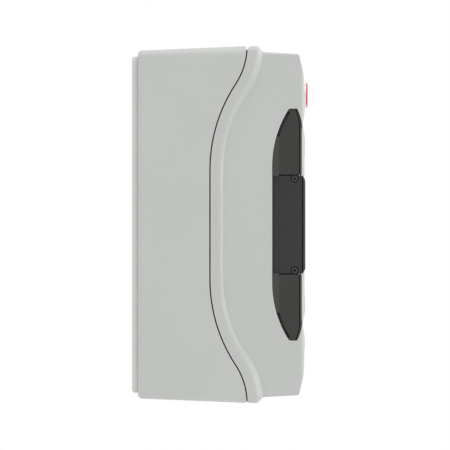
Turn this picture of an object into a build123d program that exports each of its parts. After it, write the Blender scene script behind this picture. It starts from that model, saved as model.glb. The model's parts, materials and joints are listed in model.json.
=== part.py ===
from build123d import *
from math import atan, atan2, cos, degrees, sin, sqrt
import os

# Wall mounted soap dispenser, in millimetres. x is width (right is +), y runs from the front (negative)
# to the wall (0) and z is up. The origin is the centre of the face that stands on the wall.

# Overall size
WIDTH = 140.0
HEIGHT = 280.0
PLATE_DEPTH = 4.8
PLATE_INSET = 8.1
PLATE_ROUND = 2.0
PLATE_SKIN = 2.0
PLATE_POCKET = (26.0, 38.0)
PLATE_POCKET_PITCH = (34.0, 46.0)
PLATE_POCKET_CORNER = 3.0
WALL = 2.5
FAR = 200.0
MIDDLE_Y = -50.0

# Rear housing: flares forward from the wall plate
FLARE = 0.0413
HOUSING_CORNER = 5.5
HOUSING_BACK_ROUND = 3.0
HOUSING_LENGTH = 95.0
HOUSING_BREAK = 1.4

# Seam between housing and cover: straight in the middle, one arc forward, one arc back to vertical
SEAM_MIDDLE_Y = -61.2
SEAM_END_Y = -90.3
SEAM_STRAIGHT = 43.0
SEAM_RADIUS = 122.0
SEAM_GAP = 1.06

# Front cover: rubber seal inside the housing's mouth, rim flush with the housing, then a step in to the nose
SEAL_INSET = WALL + 0.4
SEAL_THICKNESS = 1.6
SEAL_DEPTH = 4.5
SEAL_ROOT = 2.5
SEAL_CORNER = 4.3
SEAL_GAP_AT_LOCK = 28.0
RIM_DEPTH = 12.9
RIM_CORNER = 6.0
STEP = 4.65
STEP_ROUND = 3.5
COVER_BREAK = 2.6
NOSE_DRAFT = 0.055
NOSE_AT_Y = -103.5
NOSE_CORNER = 6.0
NOSE_FRONT_CORNER = 4.5
NOSE_FRONT = -136.0
NOSE_INSIDE = -132.0
NOSE_TOP_ROUND = 2.4
NOSE_BEVEL_FRONT = (-134.0, 121.0)
NOSE_BEVEL_BACK_Y = -130.9
NOSE_FACE = ((-135.5, 46), (-135.9, 60), (-135.7, 69), (-134.2, 78), (-135.5, 88), (-135.2, 104))
NOSE_INSIDE_BEVEL_Z = 112.0
NOSE_INSIDE_BEVEL_Y = -128.0

# Side windows
WINDOW_REAR = -110.0
WINDOW_TOP = 91.0
WINDOW_ARC = 83.0
WINDOW_ARC_START = 46.0
WINDOW_FRONT = -133.45
WINDOW_LOW = 39.5
WINDOW_TOP_FRONT = -129.5
WINDOW_FRONT_TOP = 76.0
WINDOW_CORNER = 2.5
COLUMN_HALF = 48.0
COLUMN_BEVEL = 3.0
PANE_INSET = 0.8
PANE_THICKNESS = 2.0
PANE_CORNER = 1.6
FLANGE_THICKNESS = 1.8
FLANGE_FRONT = -127.0
FLANGE_GAP = 0.05
FLANGE_OUTSIDE = 3.0
FLANGE_INSIDE = 3.2
PANE_FIT = 0.3
BORDER_Y = -115.3
BORDER_LOW = 38.4
REAR_GAP = 2.3
REAR_GAP_Z = (69.0, 88.5)
GROOVE_INSET = 2.05
GROOVE_WIDTH = 0.8
GROOVE_DEPTH = 1.6
LINE_Z = 43.4
LINE_DEPTH = 0.35
LINE_WIDTH = 0.8

# Push bar across the middle of the nose
BAR_HALF_X = 62.0
BAR_HALF_Z = 38.1
SLOT_HALF_Z = 38.3
BAR_FRONT = -133.3
BAR_WALL = 2.4
TONGUE_HALF_Z = 42.5
TONGUE_ROOT_Z = 36.0
TONGUE_WALL = 2.0
PAD_FRONT = -136.05
PAD_BACK = -134.2
PAD_TOP = 38.0
PAD_SHOULDER_Z = 33.2
PAD_ROUND = 1.5
LAND_INSET = 3.5
NOTCH_Y = -127.7
NOTCH_Z = 36.0
NOTCH_R = 3.3
NOTCH_DEPTH = 1.9
PAD_PIN_R = 1.8
PAD_PIN_HEAD_R = 2.4
PAD_PIN_BORE_R = 0.9
PAD_PIN_BORE = 3.0
PAD_PIN_INNER_X = 55.4
LUG_X = 57.0
LUG_BACK = -124.0
LUG_SIZE = (3.6, 4.8)
LUG_FIT = 0.1
POST_X = 49.0
POST_Z = 22.0
POST_R = 3.0
POST_STUB_R = 2.0
BRACKET_X = 52.0
BRACKET_WIDTH = 18.0
BRACKET_BOSS = 3.0
BRACKET_SCREW_X = 57.0
BRACKET_SCREW_Z = 8.0
BRACKET_SCREW_R = 1.25
BRACKET_FRONT = -98.0
BRACKET_BACK = -94.0
PUSHER_HALF_X = 20.0
PUSHER_BACK = -102.3
PUSHER_Z = (-32.0, -4.0)
PUSHER_WALL = 2.5
RETURN_COIL_R = 4.4
RETURN_WIRE_R = 0.5
RETURN_TURNS = 8
RUNNING_FIT = 0.05

# Cover hinge, along x at the bottom edge
HINGE_Y = -92.6
HINGE_Z = -137.6
HINGE_PIN_R = 1.25
EAR_R = 2.4
EAR_INNER_X = 34.0
EAR_OUTER_X = 46.0
PIN_INNER_X = 26.0
PIN_OUTER_X = 54.0
EAR_GAP = 0.4
EAR_NOTCH_Y = (-95.4, -84.0)
EAR_NOTCH_Z = (-142.0, -134.6)

# Cam lock in the top of the housing, and the cover's catch for its cam
LOCK_Y = -78.0
LOCK_BOTTOM = 134.4
LOCK_TOP = 139.6
LOCK_RING_R = 10.0
LOCK_RING_HEIGHT = 4.0
LOCK_SLEEVE_R = 8.0
LOCK_PLUG_R = 5.0
KEY_SLOT = (1.6, 6.4)
KEY_SLOT_DEPTH = 3.0
CAM_TOP = 132.4
CAM_BOTTOM = 130.4
CAM_REACH = 14.5
CAM_WIDTH = 6.5
TAIL = 4.0
TAIL_BOTTOM = 128.6
NUT_R = 4.6
CATCH_X = (9.5, 17.5)
CATCH_Z = (127.0, 129.8)
CATCH_LIP_Y = (-73.2, -71.0)
CATCH_LIP_TOP = 132.6
CATCH_FOOT_Y = (-109.0, -99.0)
CATCH_FOOT_Z = 130.4
CATCH_UPRIGHT = 2.6

# Refill bottle and dosing pump, on one vertical axis
PUMP_Y = -48.0
BOTTLE_HALF_X = 46.0
BOTTLE_BACK = -14.0
BOTTLE_FRONT_LOW = -80.0
BOTTLE_FRONT_HIGH = -122.0
BOTTLE_STEP_Z = (44.0, 56.0)
BOTTLE_TOP = 121.0
SOAP_LEVEL = 84.0
BOTTLE_WALL = 1.3
SHELF_Z = -40.0
SHELF_THICKNESS = 3.0
SHELF_HALF_X = 52.0
SHELF_FRONT = -80.0
CHEEK_X = 33.0
CHEEK_THICKNESS = 3.0
CHEEK_BOTTOM = -98.0
CHASSIS_BACK = (76.0, 72.0)
CHASSIS_BACK_Z = -72.0
CHASSIS_THICKNESS = 3.0
NECK_R = 15.0
NECK_WALL = 2.4
NECK_BOTTOM = -56.0
CAP_BOTTOM = -58.2
CAP_HEIGHT = 14.2
CAP_WALL = 3.0
BARREL_R = 8.9
BARREL_BOTTOM = -76.0
PISTON_BORE_R = 6.5
STEM_R = 4.0
STEM_BORE_R = 1.8
COLLAR_TOP = -85.0
COLLAR_BOTTOM = -93.0
COLLAR_R = 15.0
COLLAR_FLANGE_R = 20.0
COLLAR_FLANGE = 1.6
NOZZLE_TIP = -134.0
NOZZLE_TIP_R = 4.0
NOZZLE_TOP_R = 8.0
OUTLET_R = 15.0
PUMP_COIL_R = 11.0
PUMP_WIRE_R = 0.8
PUMP_TURNS = 4

# Dose lever, from the push bar under the bottle to the pump
PIVOT_Y = -18.0
PIVOT_Z = -86.3
ROLLER_Y = -97.0
ROLLER_Z = -25.0
ROLLER_R = 5.0
ARM_INNER_X = 26.0
ARM_THICKNESS = 3.0
ARM_WIDTH = 7.0
ARM_ELBOW = (-87.0, -88.0)
ARM_ELBOW_R = 12.0
ARM_BOSS_R = 4.6
ARM_BRACE = ((-90.4, -68.0), (-93.5, -48.0))
LEVER_PIN_R = 2.5
ROLLER_PIN_R = 2.0
STUD_Z = -89.0
STUD_R = 2.0
STUD_INNER_X = 16.0

# Fixings
MOUNT_X = 53.0
MOUNT_Z = 100.0
MOUNT_HOLE_R = 2.75
PLATE_SCREW_X = 45.0
PLATE_SCREW_Z = 121.0
PLATE_SCREW_R = 2.0
PLATE_SCREW_TIP = 1.0
PLATE_SCREW_HEAD_R = 4.0
PLATE_SCREW_HEAD = 2.4
CHASSIS_SCREW_X = 21.0
CHASSIS_SCREW_Z = (-100.0, -52.0)
CHASSIS_SCREW_R = 1.75
CHASSIS_SCREW_TIP = PLATE_DEPTH + 0.7
CHASSIS_SCREW_HEAD_R = 3.4
CHASSIS_SCREW_HEAD = 2.2
CROSS_SLOT = 0.9

# Plain oval badge on the upper front
BADGE_Z = 102.0
BADGE_HEIGHT = 20.4
BADGE_WIDTH = 34.0
BADGE_FRONT = -138.2
BADGE_FACE = -136.8
BADGE_SEAT = -134.2
BADGE_RING = 1.5
BADGE_PEG_R = 3.9
BADGE_PEG_BACK = -132.0

half_width = WIDTH / 2
half_height = HEIGHT / 2
seam_fall = SEAM_MIDDLE_Y - SEAM_END_Y
seam_rise = half_height - SEAM_STRAIGHT
seam_angle = 2 * atan2(seam_fall, seam_rise)
flare_angle = degrees(atan(FLARE))
draft_angle = degrees(atan(NOSE_DRAFT))
chassis_screw_places = [(x, z) for x in (-CHASSIS_SCREW_X, CHASSIS_SCREW_X) for z in CHASSIS_SCREW_Z]


def flared(half, y):
    """Half size of the housing at a depth, where half is its half size at the seam's end."""
    return half + FLARE * (SEAM_END_Y - y)


def drafted(y):
    """How much the nose's half width and half height grow from the front of the rim back to a depth."""
    return NOSE_DRAFT * (y - NOSE_AT_Y)


def nose_half_x(y):
    """Half width of the nose at a depth."""
    return half_width - STEP + drafted(y)


def seam_region(forward, far_y):
    """Side view of what lies between the seam, moved forward square to itself, and a far line."""
    reach = SEAM_RADIUS - forward
    start = (SEAM_MIDDLE_Y - forward, SEAM_STRAIGHT)
    joint = (SEAM_MIDDLE_Y - SEAM_RADIUS + reach * cos(seam_angle), SEAM_STRAIGHT + reach * sin(seam_angle))
    end = (SEAM_END_Y - forward, half_height)
    with BuildSketch(Plane.YZ) as region:
        with BuildLine():
            Line((start[0], 0), start)
            TangentArc(start, joint, tangent=(0, 1))
            TangentArc(joint, end, tangent=(-sin(seam_angle), cos(seam_angle)))
            Polyline(end, (end[0], FAR), (far_y, FAR), (far_y, 0), (start[0], 0))
        make_face()
        mirror(about=Plane.XZ)
    return region.sketch


def nose_side():
    """Side view of the nose, with its shallow front waist and its bevelled, rounded top and bottom."""
    top_at_back = half_height - STEP + drafted(MIDDLE_Y)
    top_at_front = half_height - STEP + drafted(NOSE_BEVEL_BACK_Y - 0.1)
    with BuildSketch(Plane.YZ) as side:
        with BuildLine():
            Line((NOSE_FACE[0][0], 0), NOSE_FACE[0])
            Spline(*NOSE_FACE, NOSE_BEVEL_FRONT, tangents=((0, 1), (0.244, 1)))
            FilletPolyline(
                NOSE_BEVEL_FRONT,
                (NOSE_BEVEL_BACK_Y, top_at_front),
                (MIDDLE_Y, top_at_back),
                radius=NOSE_TOP_ROUND,
            )
            Polyline((MIDDLE_Y, top_at_back), (MIDDLE_Y, 0), (NOSE_FACE[0][0], 0))
        make_face()
        mirror(about=Plane.XZ)
    return side.sketch


def nose_inside_side():
    """Side view of the hollow inside the nose."""
    back_y = 0.0
    slope_top = half_height - STEP - WALL
    with BuildSketch(Plane.YZ) as side:
        with BuildLine():
            Polyline(
                (NOSE_INSIDE, 0),
                (NOSE_INSIDE, NOSE_INSIDE_BEVEL_Z),
                (NOSE_INSIDE_BEVEL_Y, slope_top + drafted(NOSE_INSIDE_BEVEL_Y)),
                (back_y, slope_top + drafted(back_y)),
                (back_y, 0),
                (NOSE_INSIDE, 0),
            )
        make_face()
        mirror(about=Plane.XZ)
    return side.sketch


def nose_plan(inset, front, corner):
    """Top view of the nose taken in all round, with rounded front corners."""
    back_half = nose_half_x(MIDDLE_Y) - inset
    front_half = nose_half_x(front) - inset
    with BuildSketch(Plane.XY) as plan:
        with BuildLine():
            FilletPolyline(
                (-back_half, MIDDLE_Y),
                (-front_half, front),
                (front_half, front),
                (back_half, MIDDLE_Y),
                radius=corner,
            )
            Line((back_half, MIDDLE_Y), (-back_half, MIDDLE_Y))
        make_face()
    return plan.sketch


def window_side(grow, low, front=WINDOW_FRONT):
    """Side view of the upper window, grown all round, from a low edge up to its rounded top."""
    centre_y = WINDOW_REAR - WINDOW_ARC
    radius = WINDOW_ARC + grow
    rear = WINDOW_REAR + grow
    top = WINDOW_TOP + grow
    corner_y = centre_y + sqrt(radius**2 - (top - WINDOW_ARC_START) ** 2)
    with BuildSketch(Plane.YZ) as side:
        with BuildLine():
            Line((rear, low), (rear, WINDOW_ARC_START))
            TangentArc((rear, WINDOW_ARC_START), (corner_y, top), tangent=(0, 1))
            Line((corner_y, top), (WINDOW_TOP_FRONT, top))
            TangentArc((front, WINDOW_FRONT_TOP), (WINDOW_TOP_FRONT, top), tangent=(0, 1))
            Polyline((front, WINDOW_FRONT_TOP), (front, low), (rear, low))
        make_face()
        fillet(side.vertices().group_by(Axis.Y)[-1].sort_by(Axis.X)[-1], WINDOW_CORNER)
    return side.sketch


def front_groove_side(x):
    """Side view of the groove just behind the upper window's front edge, in the plane at x."""
    groove_y = WINDOW_FRONT + GROOVE_INSET
    top_y = WINDOW_TOP_FRONT + GROOVE_INSET - 0.8
    with BuildSketch(Plane.YZ.offset(x)) as side:
        with BuildLine():
            Line((groove_y, WINDOW_LOW), (groove_y, WINDOW_FRONT_TOP))
            TangentArc((groove_y, WINDOW_FRONT_TOP), (top_y, WINDOW_TOP), tangent=(0, 1))
        trace(line_width=GROOVE_WIDTH)
    return side.sketch


def bar_outline(half, front, wall):
    """Plan of a U-shaped wall that runs across the front and back along both sides."""
    with BuildSketch(Plane.XY) as plan:
        Polygon(
            (-half, front),
            (half, front),
            (half, WINDOW_REAR),
            (half - wall, WINDOW_REAR),
            (half - wall, front + wall),
            (-half + wall, front + wall),
            (-half + wall, WINDOW_REAR),
            (-half, WINDOW_REAR),
            align=None,
        )
    return plan.sketch


def badge_outline(inset, y):
    """Oval of the badge, taken in all round, in the plane at a depth."""
    with BuildSketch(Plane.XZ.offset(-y)) as oval:
        with Locations((0, BADGE_Z)):
            Ellipse(BADGE_WIDTH / 2 - inset, BADGE_HEIGHT / 2 - inset)
    return oval.sketch


def cylinder_between(radius, start, end):
    """Round bar between two points, as a free-standing piece."""
    with BuildPart() as bar:
        axis = Plane(origin=start, z_dir=Vector(*end) - Vector(*start))
        with BuildSketch(axis):
            Circle(radius)
        extrude(amount=(Vector(*end) - Vector(*start)).length)
    return bar.part


def box_between(low, high):
    """Block between two opposite corners, as a free-standing piece."""
    size = [b - a for a, b in zip(low, high)]
    middle = [(a + b) / 2 for a, b in zip(low, high)]
    with BuildPart() as block:
        with Locations(tuple(middle)):
            Box(*size)
    return block.part


def both_sides(part):
    """The piece and its mirror image in the middle plane."""
    return [part, mirror(part, about=Plane.YZ)]


def coil(radius, wire_radius, length, turns, place):
    """Compression spring that runs along the place's z axis, from its origin."""
    rise = length - 2 * wire_radius
    with BuildPart() as spring:
        with BuildLine(Plane.XY.offset(wire_radius)) as path:
            Helix(pitch=rise / turns, height=rise, radius=radius)
        with BuildSketch(Plane(origin=path.line @ 0, z_dir=path.line % 0)):
            Circle(wire_radius)
        sweep(is_frenet=True)
    return place.location * spring.part


# ---------------------------------------------------------------- wall plate and rear housing

with BuildPart() as wall_plate:
    with BuildSketch(Plane.XZ):
        RectangleRounded(WIDTH - 2 * PLATE_INSET, HEIGHT - 2 * PLATE_INSET, HOUSING_CORNER)
    extrude(amount=PLATE_DEPTH)
    fillet(wall_plate.faces().sort_by(Axis.Y)[-1].edges(), PLATE_ROUND)
    with BuildSketch(Plane.XZ):
        with GridLocations(2 * MOUNT_X, 2 * MOUNT_Z, 2, 2):
            Circle(MOUNT_HOLE_R)
    extrude(amount=PLATE_DEPTH, mode=Mode.SUBTRACT)
    with BuildSketch(Plane.XZ.offset(PLATE_SCREW_TIP)):
        with GridLocations(2 * PLATE_SCREW_X, 2 * PLATE_SCREW_Z, 2, 2):
            Circle(PLATE_SCREW_R)
    extrude(amount=PLATE_DEPTH, mode=Mode.SUBTRACT)
    with BuildSketch(Plane.XZ):
        with GridLocations(*PLATE_POCKET_PITCH, 3, 4):
            RectangleRounded(*PLATE_POCKET, PLATE_POCKET_CORNER)
    extrude(amount=PLATE_DEPTH - PLATE_SKIN, mode=Mode.SUBTRACT)

housing_floor = PLATE_DEPTH + WALL

with BuildPart() as rear_housing:
    with BuildSketch(Plane.XZ.offset(PLATE_DEPTH)):
        RectangleRounded(
            2 * flared(half_width, -PLATE_DEPTH), 2 * flared(half_height, -PLATE_DEPTH), HOUSING_CORNER
        )
    extrude(amount=HOUSING_LENGTH, taper=-flare_angle)
    fillet(rear_housing.faces().sort_by(Axis.Y)[-1].edges(), HOUSING_BACK_ROUND)
    with BuildSketch(Plane.XZ.offset(housing_floor)):
        RectangleRounded(
            2 * flared(half_width, -housing_floor) - 2 * WALL,
            2 * flared(half_height, -housing_floor) - 2 * WALL,
            HOUSING_CORNER - WALL,
        )
    extrude(amount=HOUSING_LENGTH, taper=-flare_angle, mode=Mode.SUBTRACT)
    # thick ring in the roof for the lock, and a collar in the floor round the outlet
    with BuildSketch(Plane.XY.offset(LOCK_BOTTOM)):
        with Locations((0, LOCK_Y)):
            Circle(LOCK_RING_R)
    extrude(amount=LOCK_RING_HEIGHT)
    extrude(seam_region(-SEAM_GAP / 2, -FAR), amount=FAR, both=True, mode=Mode.SUBTRACT)
    # broken edges at the top and bottom ends of the seam
    with BuildSketch(Plane.YZ):
        with Locations((SEAM_END_Y + SEAM_GAP / 2, half_height), (SEAM_END_Y + SEAM_GAP / 2, -half_height)):
            Rectangle(HOUSING_BREAK, HOUSING_BREAK, rotation=45)
    extrude(amount=FAR, both=True, mode=Mode.SUBTRACT)
    with BuildSketch(Plane.XZ):
        with GridLocations(2 * MOUNT_X, 2 * MOUNT_Z, 2, 2):
            Circle(MOUNT_HOLE_R)
        with GridLocations(2 * PLATE_SCREW_X, 2 * PLATE_SCREW_Z, 2, 2):
            Circle(PLATE_SCREW_R)
    extrude(amount=housing_floor + 1.0, mode=Mode.SUBTRACT)
    with BuildSketch(Plane.XZ.offset(CHASSIS_SCREW_TIP)):
        with Locations(chassis_screw_places):
            Circle(CHASSIS_SCREW_R)
    extrude(amount=WALL, mode=Mode.SUBTRACT)
    with BuildSketch(Plane.XY.offset(-half_height - 1)):
        with Locations((0, PUMP_Y)):
            Circle(OUTLET_R + 2.0)
    extrude(amount=8, mode=Mode.SUBTRACT)
    with BuildSketch(Plane.XY.offset(130)):
        with Locations((0, LOCK_Y)):
            Circle(LOCK_SLEEVE_R)
    extrude(amount=15, mode=Mode.SUBTRACT)
    for side in (-1, 1):
        ear_middle = side * (EAR_INNER_X + EAR_OUTER_X) / 2
        ear_half = (EAR_OUTER_X - EAR_INNER_X) / 2
        with BuildSketch(Plane.YZ.offset(ear_middle)):
            with Locations((HINGE_Y, HINGE_Z)):
                Circle(EAR_R)
            with Locations((HINGE_Y + 3.6, HINGE_Z + 0.2)):
                Rectangle(7.2, 3.6)
        extrude(amount=ear_half, both=True)
    with BuildSketch(Plane.YZ):
        with Locations((HINGE_Y, HINGE_Z)):
            Circle(HINGE_PIN_R)
    extrude(amount=EAR_OUTER_X + 1, both=True, mode=Mode.SUBTRACT)

with BuildPart() as outlet_bezel:
    with BuildSketch(Plane.XY.offset(-137.3)):
        with Locations((0, PUMP_Y)):
            Circle(OUTLET_R + 1.9)
            Circle(OUTLET_R, mode=Mode.SUBTRACT)
    extrude(amount=2.8)
    with BuildSketch(Plane.XY.offset(-134.5)):
        with Locations((0, PUMP_Y)):
            Circle(OUTLET_R + 4.5)
            Circle(OUTLET_R, mode=Mode.SUBTRACT)
    extrude(amount=1.4)

# ---------------------------------------------------------------- front cover

with BuildPart() as rim:
    growth = flared(0, MIDDLE_Y)
    with BuildSketch(Plane.XZ.offset(-MIDDLE_Y)):
        RectangleRounded(WIDTH + 2 * growth, HEIGHT + 2 * growth, RIM_CORNER + growth)
    extrude(amount=MIDDLE_Y - SEAM_END_Y, taper=-flare_angle)
    with BuildSketch(Plane.XZ.offset(-SEAM_END_Y)):
        RectangleRounded(WIDTH, HEIGHT, RIM_CORNER)
    extrude(amount=20)
    extrude(seam_region(RIM_DEPTH, -FAR), amount=FAR, both=True, mode=Mode.SUBTRACT)
    rim_front = rim.faces().filter_by(lambda face: face.normal_at().Y < -0.4)
    rim_sides = rim.faces().filter_by(lambda face: abs(face.normal_at().Y) < 0.1)
    chamfer(rim_front.edges() & rim_sides.edges(), STEP)
    rim_front = rim.faces().filter_by(lambda face: face.normal_at().Y < -0.4)
    rim_sides = rim.faces().filter_by(lambda face: abs(face.normal_at().Y) < 0.1)
    fillet(rim_front.edges() & rim_sides.edges(), STEP_ROUND)

with BuildPart() as seal_ring:
    seal_half_x = flared(half_width, MIDDLE_Y) - SEAL_INSET
    seal_half_z = flared(half_height, MIDDLE_Y) - SEAL_INSET
    with BuildSketch(Plane.XZ.offset(-MIDDLE_Y)):
        RectangleRounded(2 * seal_half_x, 2 * seal_half_z, SEAL_CORNER)
    extrude(amount=-MIDDLE_Y, taper=-flare_angle)
    with BuildSketch(Plane.XZ.offset(-MIDDLE_Y)):
        RectangleRounded(
            2 * (seal_half_x - SEAL_THICKNESS),
            2 * (seal_half_z - SEAL_THICKNESS),
            SEAL_CORNER - SEAL_THICKNESS,
        )
    extrude(amount=-MIDDLE_Y, taper=-flare_angle, mode=Mode.SUBTRACT)
    extrude(seam_region(SEAM_GAP / 2 + SEAL_ROOT, 0), amount=FAR, both=True, mode=Mode.INTERSECT)
    extrude(seam_region(-SEAL_DEPTH, 0), amount=FAR, both=True, mode=Mode.SUBTRACT)
    # gaps for the lock's ring at the top and the hinge pins at the bottom
    with BuildSketch(Plane.XZ):
        with Locations((0, half_height)):
            Rectangle(SEAL_GAP_AT_LOCK, 20)
        with Locations((0, -half_height)):
            Rectangle(2 * (PIN_OUTER_X + 2), 20)
    extrude(amount=FAR, mode=Mode.SUBTRACT)

with BuildPart() as ear_notches:
    for side in (-1, 1):
        ear_low = min(side * EAR_INNER_X, side * EAR_OUTER_X) - EAR_GAP
        ear_high = max(side * EAR_INNER_X, side * EAR_OUTER_X) + EAR_GAP
        low_corner = (ear_low, EAR_NOTCH_Y[0], EAR_NOTCH_Z[0])
        high_corner = (ear_high, EAR_NOTCH_Y[1], EAR_NOTCH_Z[1])
        add(box_between(low_corner, high_corner))

with BuildPart() as nose:
    with BuildSketch(Plane.XZ.offset(-MIDDLE_Y)):
        RectangleRounded(
            2 * nose_half_x(MIDDLE_Y) + 0.1, 2 * (half_height - STEP + drafted(MIDDLE_Y)) + 0.1, NOSE_CORNER
        )
    extrude(amount=100, taper=draft_angle)
    extrude(nose_side(), amount=FAR, both=True, mode=Mode.INTERSECT)
    extrude(nose_plan(0, NOSE_FRONT, NOSE_FRONT_CORNER), amount=FAR, both=True, mode=Mode.INTERSECT)

with BuildPart() as nose_hollow:
    with BuildSketch(Plane.XZ.offset(-MIDDLE_Y)):
        RectangleRounded(
            2 * (nose_half_x(MIDDLE_Y) - WALL) + 0.1,
            2 * (half_height - STEP + drafted(MIDDLE_Y) - WALL) + 0.1,
            NOSE_CORNER - WALL,
        )
    extrude(amount=100, taper=draft_angle)
    extrude(nose_inside_side(), amount=FAR, both=True, mode=Mode.INTERSECT)
    extrude(nose_plan(WALL, NOSE_INSIDE, NOSE_FRONT_CORNER - 1.5), amount=FAR, both=True, mode=Mode.INTERSECT)

with BuildPart() as openings:
    extrude(window_side(0, 0), amount=FAR, both=True)
    with BuildSketch(Plane.YZ):
        with Locations((WINDOW_FRONT - 9.9, WINDOW_FRONT_TOP / 2)):
            Rectangle(20.0, WINDOW_FRONT_TOP)
    extrude(amount=FAR, both=True)
    with BuildSketch(Plane.XY.offset(-FAR)):
        Polygon(
            (-COLUMN_HALF, -50),
            (-COLUMN_HALF, NOSE_INSIDE - 1),
            (-COLUMN_HALF + COLUMN_BEVEL, NOSE_INSIDE - 1 - COLUMN_BEVEL),
            (-COLUMN_HALF + COLUMN_BEVEL, -FAR),
            (COLUMN_HALF - COLUMN_BEVEL, -FAR),
            (COLUMN_HALF - COLUMN_BEVEL, NOSE_INSIDE - 1 - COLUMN_BEVEL),
            (COLUMN_HALF, NOSE_INSIDE - 1),
            (COLUMN_HALF, -50),
            align=None,
        )
    extrude(amount=2 * FAR, mode=Mode.SUBTRACT)
    mirror(about=Plane.XY)

with BuildPart() as front_cover:
    add(rim.part)
    add(nose.part)
    add(nose_hollow.part, mode=Mode.SUBTRACT)
    extrude(seam_region(SEAM_GAP / 2, 0), amount=FAR, both=True, mode=Mode.SUBTRACT)
    # broken edges at the seam's ends: the lower one lets the rim swing past the housing
    with BuildSketch(Plane.YZ):
        with Locations((SEAM_END_Y - SEAM_GAP / 2, half_height), (SEAM_END_Y - SEAM_GAP / 2, -half_height)):
            Rectangle(COVER_BREAK, COVER_BREAK, rotation=45)
    extrude(amount=FAR, both=True, mode=Mode.SUBTRACT)
    # groove that holds the seal
    add(seal_ring.part, mode=Mode.SUBTRACT)
    # window openings on both sides, open to the front beside the middle column
    add(openings.part, mode=Mode.SUBTRACT)
    # slot for the push bar
    with BuildSketch(Plane.XZ.offset(-NOSE_INSIDE - 1)):
        Rectangle(WIDTH, 2 * SLOT_HALF_Z)
    extrude(amount=20, mode=Mode.SUBTRACT)
    # ledges for the push bar's brackets
    for side in (-1, 1):
        add(box_between((side * 59.5 - 5, BRACKET_BACK, -14), (side * 59.5 + 5, BRACKET_BACK + 4, 14)))
    with BuildSketch(Plane.XZ.offset(-BRACKET_BACK - 4)):
        with GridLocations(2 * BRACKET_SCREW_X, 2 * BRACKET_SCREW_Z, 2, 2):
            Circle(BRACKET_SCREW_R)
    extrude(amount=6, mode=Mode.SUBTRACT)
    # hinge: bores through the rim and notches for the housing's ears
    with BuildSketch(Plane.YZ):
        with Locations((HINGE_Y, HINGE_Z)):
            Circle(HINGE_PIN_R + RUNNING_FIT)
    extrude(amount=PIN_OUTER_X + 0.6, both=True, mode=Mode.SUBTRACT)
    add(ear_notches.part, mode=Mode.SUBTRACT)
    # flat seat and peg hole for the badge
    extrude(badge_outline(-0.1, BADGE_SEAT), amount=5, mode=Mode.SUBTRACT)
    with BuildSketch(Plane.XZ.offset(-BADGE_PEG_BACK - 2)):
        with Locations((0, BADGE_Z)):
            Circle(BADGE_PEG_R + 0.1)
    extrude(amount=10, mode=Mode.SUBTRACT)

with BuildPart() as cover_seal:
    add(seal_ring.part)

hinge_pins = Compound(
    children=both_sides(
        cylinder_between(HINGE_PIN_R, (PIN_INNER_X, HINGE_Y, HINGE_Z), (PIN_OUTER_X, HINGE_Y, HINGE_Z))
    )
)

# ---------------------------------------------------------------- side windows

with BuildPart() as rear_gap:
    # open gap between the pane and the upper part of the opening's rear edge
    extrude(window_side(0, 0), amount=FAR)
    extrude(window_side(-REAR_GAP, 0), amount=FAR, mode=Mode.SUBTRACT)
    with BuildSketch(Plane.YZ):
        with Locations((WINDOW_REAR - 7, (REAR_GAP_Z[0] + REAR_GAP_Z[1]) / 2)):
            Rectangle(14, REAR_GAP_Z[1] - REAR_GAP_Z[0])
    extrude(amount=FAR, mode=Mode.INTERSECT)

with BuildPart() as window:
    extrude(window_side(-PANE_FIT, WINDOW_LOW), amount=FAR, both=True)
    extrude(nose_plan(PANE_INSET, WINDOW_FRONT, PANE_CORNER), amount=FAR, both=True, mode=Mode.INTERSECT)
    pane_back = PANE_INSET + PANE_THICKNESS
    pane_inside = nose_plan(pane_back, WINDOW_FRONT + PANE_THICKNESS, PANE_CORNER / 2)
    extrude(pane_inside, amount=FAR, both=True, mode=Mode.SUBTRACT)
    with BuildSketch(Plane.XZ):
        with Locations((COLUMN_HALF + PANE_FIT - FAR / 2, 0)):
            Rectangle(FAR, 2 * FAR)
    extrude(amount=FAR, mode=Mode.SUBTRACT)
    # border that reaches down beside the push bar, behind the bar's gap
    border_x = nose_half_x(WINDOW_REAR) - PANE_INSET
    with BuildSketch(Plane.YZ.offset(border_x - PANE_THICKNESS)):
        with Locations(((WINDOW_REAR - PANE_FIT + BORDER_Y) / 2, (WINDOW_LOW + BORDER_LOW) / 2)):
            Rectangle(WINDOW_REAR - PANE_FIT - BORDER_Y, WINDOW_LOW - BORDER_LOW + 0.4)
    extrude(amount=PANE_THICKNESS - 0.1)
    add(rear_gap.part, mode=Mode.SUBTRACT)
    # groove behind the front edge of the side face
    groove_x = nose_half_x(WINDOW_FRONT) - PANE_INSET - GROOVE_DEPTH
    extrude(front_groove_side(groove_x), amount=10, mode=Mode.SUBTRACT)
    # fine line across the foot of the pane
    line_x = nose_half_x(WINDOW_REAR) - PANE_INSET - LINE_DEPTH
    with BuildSketch(Plane.YZ.offset(line_x)):
        with Locations(((BORDER_Y + WINDOW_FRONT + GROOVE_INSET) / 2, LINE_Z)):
            Rectangle(BORDER_Y - WINDOW_FRONT - GROOVE_INSET, LINE_WIDTH)
    extrude(amount=10, mode=Mode.SUBTRACT)

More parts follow.
